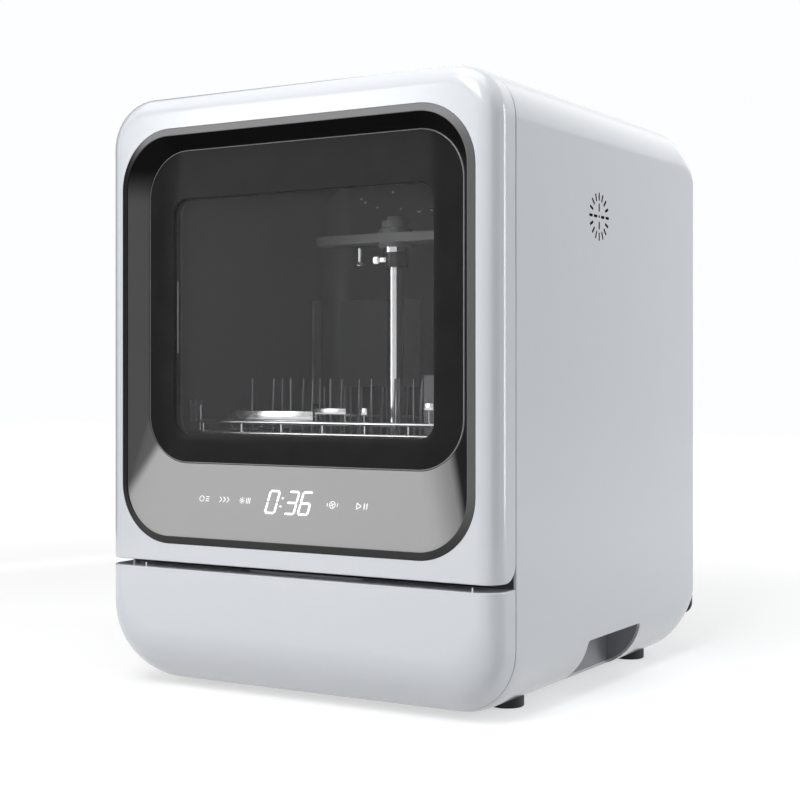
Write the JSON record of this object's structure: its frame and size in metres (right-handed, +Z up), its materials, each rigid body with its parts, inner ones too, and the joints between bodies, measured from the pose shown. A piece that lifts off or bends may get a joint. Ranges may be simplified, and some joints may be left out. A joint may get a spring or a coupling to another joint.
{
  "type": "countertop dishwasher",
  "caption": "Tall countertop dishwasher with a drop-down glass door over a slanted touch panel, a wire rack, spray arms and a pull-out water tank drawer.",
  "frame": {"origin": "centre of the bounding box on the worktop, under the feet", "axes": "+X to the viewer's right when facing the door, -Y the door's side, +Z up"},
  "size_m": [0.4, 0.446, 0.532],
  "materials": {
    "shell_white": "satin painted, cool white",
    "panel_grey": "fine grained, dark grey",
    "cup_grey": "satin mid grey",
    "foot_rubber": "matt black",
    "screw_steel": "zinc plated",
    "bracket_steel": "bright zinc",
    "tub_liner": "smooth grey",
    "chrome_parts": "polished",
    "arm_plastic": "smooth light grey",
    "basket_grey": "satin grey",
    "inner_grey": "moulded grey",
    "fan_black": "matt black",
    "motor_dark": "matt",
    "hose_rubber": "matt",
    "valve_white": "matt",
    "pad_felt": "pressed felt",
    "board_green": "solder mask",
    "ring_metal": "brushed, dark anodised",
    "fascia_grey": "metallic satin grey",
    "dark_glass": "tinted, black border",
    "clear_glass": "clear",
    "liner_plastic": "smooth grey",
    "tank_clear": "milky translucent",
    "lid_grey": "satin"
  },
  "bodies": {
    "cabinet": {"outer_shell": "shell_white", "base_tray": "panel_grey", "rear_panel": "panel_grey", "plug_plate": "panel_grey", "hose_pocket": "panel_grey", "support_deck": "panel_grey", "front_bezel": "panel_grey", "handhold_cups": "cup_grey", "feet": "foot_rubber", "panel_screws": "screw_steel", "base_screws": "screw_steel", "wash_tub": "tub_liner", "tub_gasket": "foot_rubber", "insulation_pad": "pad_felt", "sump": "inner_grey", "filter_cup": "arm_plastic", "arm_post": "arm_plastic", "riser_tube": "chrome_parts", "arm_collar": "chrome_parts", "arm_cap": "arm_plastic", "heater_ring": "chrome_parts", "rack_rails": "tub_liner", "rack_floor": "chrome_parts", "rack_rim": "chrome_parts", "rack_uprights": "chrome_parts", "rack_tines": "chrome_parts", "cutlery_basket": "basket_grey", "vent_cover": "tub_liner", "fan_duct": "inner_grey", "fan_housing": "fan_black", "pump_volute": "inner_grey", "pump_motor": "motor_dark", "drain_pump": "motor_dark", "tank_pump": "motor_dark", "tank_dock": "inner_grey", "inlet_valve": "valve_white", "suction_hose": "hose_rubber", "delivery_hose": "hose_rubber", "drain_hose": "hose_rubber", "fill_hoses": "hose_rubber", "cord_gland": "fan_black", "main_board": "board_green", "hinge_arms": "bracket_steel", "latch_housing": "inner_grey", "drawer_rails": "bracket_steel"},
    "door": {"door_frame": "shell_white", "trim_ring": "ring_metal", "control_fascia": "fascia_grey", "outer_glass": "dark_glass", "window_frame": "fan_black", "inner_glass": "clear_glass", "door_liner": "liner_plastic", "display_board": "board_green", "door_hinge_blocks": "bracket_steel", "hinge_pins": "screw_steel", "latch_tongue": "inner_grey"},
    "drawer": {"drawer_front": "shell_white", "drawer_tray": "cup_grey", "drawer_runners": "bracket_steel", "water_tank": "tank_clear", "tank_lid": "lid_grey"},
    "lower_arm": {"lower_spray_arm": "arm_plastic"},
    "upper_arm": {"upper_spray_arm": "arm_plastic"},
    "fan_rotor": {"fan_impeller": "fan_black"},
    "pump_rotor": {"pump_impeller": "inner_grey"}
  },
  "joints": [
    {"name": "door_hinge", "type": "hinge", "parent": "cabinet", "child": "door", "pos_m": [0, -0.209, 0.128], "axis": [1, 0, 0], "range_deg": [0, 90]},
    {"name": "drawer_slide", "type": "slide", "parent": "cabinet", "child": "drawer", "axis": [0, -1, 0], "range_m": [0, 0.15]},
    {"name": "lower_arm_spin", "type": "hinge", "parent": "cabinet", "child": "lower_arm", "pos_m": [0, -0.042, 0.168], "axis": [0, 0, 1], "continuous": true},
    {"name": "upper_arm_spin", "type": "hinge", "parent": "cabinet", "child": "upper_arm", "pos_m": [0, -0.042, 0.411], "axis": [0, 0, 1], "continuous": true},
    {"name": "fan_spin", "type": "hinge", "parent": "cabinet", "child": "fan_rotor", "pos_m": [0.19, -0.022, 0.4235], "axis": [1, 0, 0], "continuous": true},
    {"name": "wash_pump_spin", "type": "hinge", "parent": "cabinet", "child": "pump_rotor", "pos_m": [-0.042, 0.165, 0.058], "axis": [1, 0, 0], "continuous": true}
  ]
}
